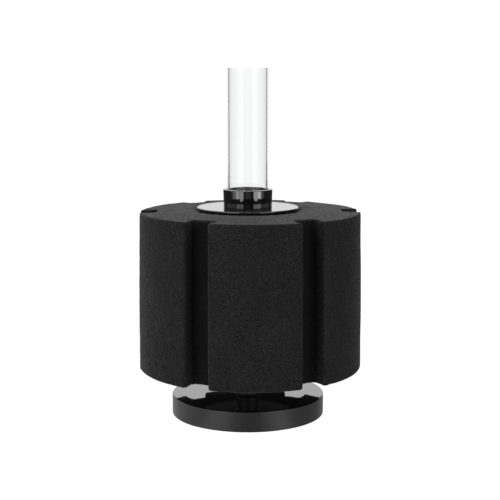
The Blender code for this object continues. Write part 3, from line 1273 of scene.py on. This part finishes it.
@dataclass
class Cap:
    """The cap: top plate, collar, air spider, air nipple and diffuser."""

    cutter: OpeningCutter
    plate_edge: float = 0.5 * MM
    plate_gap: float = 0.05 * MM
    plate_steps: int = 224
    tube_gap: float = 0.3 * MM
    ledge_height: float = 92.0 * MM
    ledge_thickness: float = 2.0 * MM
    spigot: float = 11.2 * MM
    taper: float = 0.30 * MM
    nipple_bore: float = 1.1 * MM
    nipple_radius: float = 2.05 * MM
    flange_thickness: float = 1.2 * MM
    tip_radius: float = 1.55 * MM
    barbs: int = 3
    barb_pitch: float = 3.6 * MM
    barb_radius: float = 2.5 * MM
    diffuser_wall: float = 1.2 * MM
    first_port: float = 1.0 * MM
    ports: Openings = Openings(
        columns=8, rows=4, width=1.3 * MM, height=1.3 * MM, corner=0.64 * MM, pitch=2.9 * MM,
        radius=4.9 * MM, depth=3.0 * MM, stagger=0.5,
    )

    def collar(self) -> bpy.types.Object:
        """Turn the collar: the socket above the plate, and the spigot and ledge below.

        Returns:
            The collar.
        """
        radius, bottom, top = reach("collar")
        _, _, plate_top = reach("top_plate")
        tube, _, _ = reach("lift_tube")
        bore = tube + self.tube_gap
        shoulder = plate_top + 0.02 * MM
        ledge_top = self.ledge_height + self.ledge_thickness
        corners = [
            Corner(bore, top, 0.25 * MM),
            Corner(radius, top, 0.3 * MM),
            Corner(radius - self.taper, shoulder, 0.1 * MM),
            Corner(self.spigot, shoulder),
            Corner(self.spigot, bottom, 0.3 * MM),
            Corner(bore, bottom, 0.2 * MM),
            Corner(bore, self.ledge_height),
            Corner(tube - TUBE_WALL, self.ledge_height, 0.2 * MM),
            Corner(tube - TUBE_WALL, ledge_top, 0.2 * MM),
            Corner(bore, ledge_top),
        ]
        return turned("collar_socket", corners, 192)

    def nipple(self) -> bpy.types.Object:
        """Turn the barbed nipple with the flange that sits on the spider's hub.

        Returns:
            The nipple.
        """
        flange, bottom, top = reach("air_nipple")
        _, _, hub_top = reach("air_spider")
        neck = self.nipple_radius * 0.85
        corners = [Corner(self.nipple_bore, top, 0.15 * MM), Corner(self.tip_radius, top, 0.2 * MM)]
        for barb in range(self.barbs):
            crest = top - self.barb_pitch * (barb + 0.7)
            corners += [
                Corner(self.barb_radius, crest, 0.12 * MM),
                Corner(self.barb_radius, crest - 0.3 * MM, 0.12 * MM),
                Corner(neck, crest - 0.8 * MM, 0.2 * MM),
            ]
        seat = hub_top + 0.05 * MM
        corners += [
            Corner(self.nipple_radius, top - self.barb_pitch * (self.barbs + 1), 0.4 * MM),
            Corner(self.nipple_radius, seat + self.flange_thickness, 0.4 * MM),
            Corner(flange, seat + self.flange_thickness, 0.3 * MM),
            Corner(flange, seat, 0.15 * MM),
            Corner(self.nipple_radius, seat),
            Corner(self.nipple_radius, bottom, 0.25 * MM),
            Corner(self.nipple_bore, bottom),
        ]
        return turned("barbed_nipple", corners, 48, 3)

    def diffuser(self, material: bpy.types.Material) -> bpy.types.Object:
        """Turn the round-nosed diffuser and cut its ports.

        Args:
            material: the finish of the whole diffuser.

        Returns:
            The diffuser.
        """
        radius, bottom, top = reach("diffuser")
        inner = radius - self.diffuser_wall
        hole = self.nipple_radius + 0.1 * MM
        corners = [
            Corner(0.0, bottom + self.diffuser_wall),
            Corner(inner, bottom + self.diffuser_wall, inner - 0.1 * MM),
            Corner(inner, top - self.diffuser_wall, 0.4 * MM),
            Corner(hole, top - self.diffuser_wall),
            Corner(hole, top, 0.15 * MM),
            Corner(radius, top, 0.8 * MM),
            Corner(radius, bottom, radius - 0.1 * MM),
            Corner(0.0, bottom),
        ]
        bullet = turned("air_diffuser", corners, 64, 8)
        first = bottom + radius + self.first_port
        self.cutter.cut(bullet, replace(self.ports, first=first), material)
        return bullet

    def build(self) -> None:
        """Make the cap and join it to the frame."""
        gloss = PolishedBlack().build("polished black")
        moulded = MouldedBlack(roughness=0.6, shine=1.2).build("inlet plastic")
        grey = PorousGrey().build("diffuser grey")
        hole = self.spigot + self.plate_gap
        plate = disc("top_disc", "top_plate", hole, self.plate_edge, self.plate_steps)
        collar, nipple, diffuser = self.collar(), self.nipple(), self.diffuser(grey)
        install(plate, Body.CAP, "top_plate", gloss)
        install(collar, Body.CAP, "collar", gloss)
        install(nipple, Body.CAP, "air_nipple", moulded)
        install(diffuser, Body.CAP, "diffuser")
        dress(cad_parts["air_spider"], moulded)


@dataclass
class LiftTube:
    """The clear lift tube that stands in the collar."""

    edge: float = 0.15 * MM
    steps: int = 192

    def build(self) -> None:
        """Make the tube and join it to the frame."""
        radius, bottom, top = reach("lift_tube")
        bore = radius - TUBE_WALL
        corners = [
            Corner(bore, top, self.edge),
            Corner(radius, top, self.edge),
            Corner(radius, bottom, self.edge),
            Corner(bore, bottom, self.edge),
        ]
        tube = turned("clear_lift_tube", corners, self.steps, 3)
        install(tube, Body.TUBE, "lift_tube", ClearPlastic().build("clear tube"))


# -------------------------------------------------------------------- studio


# Where the side lights and the softboxes stand, as edges in degrees from the front.
BESIDE: tuple[Point, ...] = ((45.0, 52.0), (88.0, 48.0))
BOXES: tuple[Point, ...] = ((10.0, 35.0), (60.0, 38.0))

# Where the softboxes' upper panels start, in metres above the floor.
HIGH = 0.172


@dataclass(frozen=True)
class Softbox:
    """An upright light panel that faces the filter's axis."""

    azimuth: float
    distance: float
    width: float
    height: float
    brightness: float
    bottom: float = 0.0

    def build(self, name: str) -> None:
        """Add the light.

        Args:
            name: the light's name.
        """
        data = bpy.data.lights.new(name, "AREA")
        data.shape = "RECTANGLE"
        data.size, data.size_y = self.width, self.height
        data.energy = self.brightness * math.pi * self.width * self.height
        lamp = bpy.data.objects.new(name, data)
        bpy.context.scene.collection.objects.link(lamp)
        angle = math.radians(self.azimuth)
        middle = self.bottom + self.height / 2.0
        lamp.location = (self.distance * math.sin(angle), -self.distance * math.cos(angle), middle)
        lamp.rotation_euler = (math.pi / 2.0, 0.0, angle)
        lamp.visible_camera = False


@dataclass(frozen=True)
class Glow:
    """A soft-edged patch of light in the surroundings or on the floor.

    Each edge is a pair, from no light to full light: turns in degrees from the front,
    levels as the sine of the elevation or the distance along the floor, and sides as X.
    """

    strength: float
    turns: tuple[Point, ...]
    levels: tuple[Point, ...]
    sides: tuple[Point, ...] = ()

    def light(self, turn: Value, level: Value, side: Value) -> Value:
        """Work out the patch's light in each direction.

        Args:
            turn: the direction's angle from the front.
            level: the sine of its elevation, or the distance along the floor.
            side: its X.

        Returns:
            The light, 0 outside the patch.
        """
        edges = [turn.step(*map(math.radians, ends)) for ends in self.turns]
        edges += [level.step(*ends) for ends in self.levels]
        edges += [side.step(*ends) for ends in self.sides]
        return math.prod(edges, start=self.strength)


@dataclass
class Studio:
    """A plain white studio: floor, backdrop light, softboxes and the camera.

    The tube shows the light near the horizon, the collar that a little below it, and the
    plate that a little above it, so these are lit apart.
    """

    dim_glow: float = 0.10
    glows: tuple[Glow, ...] = (
        # In front, wide and dim, then a narrow strip.
        Glow(strength=0.06, turns=((125.0, 80.0),), levels=((0.45, 0.1),)),
        Glow(strength=0.34, turns=((15.0, 10.0),), levels=((0.45, 0.1),)),
        # At the sides: bright near the floor, faint at the horizon, hazy above it.
        Glow(strength=3.3, turns=BESIDE, levels=((0.35, 0.0), (-0.09, -0.13))),
        Glow(strength=0.5, turns=BESIDE, levels=((0.35, 0.0), (-0.13, -0.09))),
        Glow(
            strength=1.0,
            turns=((45.0, 60.0), (130.0, 100.0)),
            levels=((0.35, 0.2), (0.03, 0.13)),
        ),
        # Between the softboxes' low and high panels.
        Glow(strength=0.7, turns=BOXES, levels=((-0.13, -0.10), (0.2, 0.0))),
        # High on the left.
        Glow(strength=2.4, turns=(), levels=((0.14, 0.34),), sides=((-0.3, -0.8),)),
    )
    back_turn: Point = (138.0, 154.0)
    back_shift: float = 20.0
    back_shift_height: Point = (-0.06, -0.14)
    back_glow: float = 0.985
    back_rise: float = 2.5
    back_limit: float = 1.9
    top_glow: float = 1.1
    top_height: Point = (0.45, 0.95)
    through_glow: float = 0.45
    through_turn: Point = (136.0, 122.0)
    floor_left: float = 0.95
    floor_right: float = 0.43
    pool_glow: float = 0.85
    pool_pinch: float = 1.25
    pool_fade: Point = (0.17, 0.09)
    floor_spread: float = 0.12
    floor_roughness: float = 0.25
    floor_shine: float = 1.45
    floor_radius: float = 0.42
    white: float = 1.05
    softboxes: tuple[Softbox, ...] = (
        Softbox(azimuth=-36.0, distance=0.46, width=0.27, height=0.065, brightness=4.4),
        Softbox(azimuth=-36.0, distance=0.46, width=0.27, height=0.38, brightness=4.0, bottom=HIGH),
        Softbox(azimuth=45.0, distance=0.46, width=0.30, height=0.065, brightness=5.6),
        Softbox(azimuth=45.0, distance=0.46, width=0.30, height=0.20, brightness=5.4, bottom=HIGH),
    )
    camera_distance: float = 584.9 * MM
    camera_height: float = 167.8 * MM
    camera_side: float = 1.07 * MM
    camera_pitch: float = 0.1467
    lens: float = 86.8

    def floor(self) -> None:
        """Lay the pale floor: plain white to the camera, and to all else a painted glow, brighter
        on the left, with painted pools of light before the softboxes, under a faint polish.
        """
        maker = bmesh.new()
        bmesh.ops.create_circle(maker, cap_ends=True, segments=96, radius=self.floor_radius)
        mesh = bpy.data.meshes.new("floor")
        maker.to_mesh(mesh)
        maker.free()
        floor = bpy.data.objects.new("floor", mesh)
        bpy.context.scene.collection.objects.link(floor)
        tree = Finish("pale floor")
        x, y, _ = tree.axes(tree.place)
        # Painted light: the floor glows brighter on the left than on the right.
        fall = x.step(-self.floor_spread, self.floor_spread)
        glow = self.floor_left * (1.0 - fall) + self.floor_right * fall
        turn = (x.math("ARCTAN2", y * -1.0) * self.pool_pinch).math("ABSOLUTE")
        radius = (x * x + y * y).math("SQRT")
        # Painted pools of light on the floor before the softboxes.
        pool = Glow(self.pool_glow, turns=BOXES, levels=(self.pool_fade,))
        glow = glow + pool.light(turn, radius, x)
        seen = tree.value("ShaderNodeLightPath", None, None, "Is Camera Ray")
        lit = tree.node("ShaderNodeEmission", None, {"Strength": glow})
        polish = tree.node("ShaderNodeBsdfGlossy", None, {"Roughness": self.floor_roughness})
        grazed = tree.value("ShaderNodeFresnel", None, {"IOR": self.floor_shine})
        white = tree.node("ShaderNodeEmission", None, {"Strength": self.white})
        dress(floor, tree.show(tree.blend(seen, tree.blend(grazed, lit, polish), white)))

    def backdrop(self) -> None:
        """Light the surroundings: bright behind and above, dim in front."""
        world = bpy.data.worlds.new("studio")
        bpy.context.scene.world = world
        world.use_nodes = True
        tree = Tree(world.node_tree)
        x, y, z = tree.axes(tree.value("ShaderNodeTexCoord", None, None, "Generated"))
        turn = x.math("ARCTAN2", y * -1.0).math("ABSOLUTE")
        shift = math.radians(self.back_shift) * z.step(*self.back_shift_height)
        behind = (turn - shift).step(*map(math.radians, self.back_turn))
        back = (z.math("MAXIMUM", 0.0) * self.back_rise + self.back_glow).math(
            "MINIMUM", self.back_limit
        )
        ring = sum((glow.light(turn, z, x) for glow in self.glows), start=self.dim_glow)
        ring = ring * (1.0 - behind) + back * behind
        above = z.step(*self.top_height)
        dome = ring * (1.0 - above) + self.top_glow * above
        through = tree.value("ShaderNodeLightPath", None, None, "Is Transmission Ray")
        through = through * turn.step(*map(math.radians, self.through_turn))
        dome = dome + self.through_glow * through
        seen = tree.value("ShaderNodeLightPath", None, None, "Is Camera Ray")
        strength = dome * (1.0 - seen) + self.white * seen
        plain = {"Color": (1.0, 1.0, 1.0, 1.0), "Strength": strength}
        light = tree.node("ShaderNodeBackground", None, plain)
        tree.node("ShaderNodeOutputWorld", None, {"Surface": light.outputs[0]})

    def camera(self) -> None:
        """Set up the camera in front of the filter, looking slightly down."""
        data = bpy.data.cameras.new("camera")
        data.sensor_width = 36.0
        data.lens = self.lens
        data.clip_start = 0.01
        camera = bpy.data.objects.new("camera", data)
        bpy.context.scene.collection.objects.link(camera)
        camera.location = (self.camera_side, -self.camera_distance, self.camera_height)
        camera.rotation_euler = (math.pi / 2.0 - self.camera_pitch, 0.0, 0.0)
        bpy.context.scene.camera = camera

    def build(self) -> None:
        """Set up the whole studio."""
        self.floor()
        self.backdrop()
        for number, softbox in enumerate(self.softboxes, 1):
            softbox.build(f"softbox_{number}")
        self.camera()
        bpy.context.scene.view_settings.view_transform = "Standard"
        log.info("studio ready")


def main() -> None:
    """Build the studio, then the filter from the bottom up."""
    logging.basicConfig(level=logging.INFO, format="%(message)s")
    Studio().build()
    cutter = OpeningCutter()
    Foot().build()
    Core(cutter).build()
    Sponge().build()
    Cap(cutter).build()
    LiftTube().build()


if __name__ == "__main__":
    main()
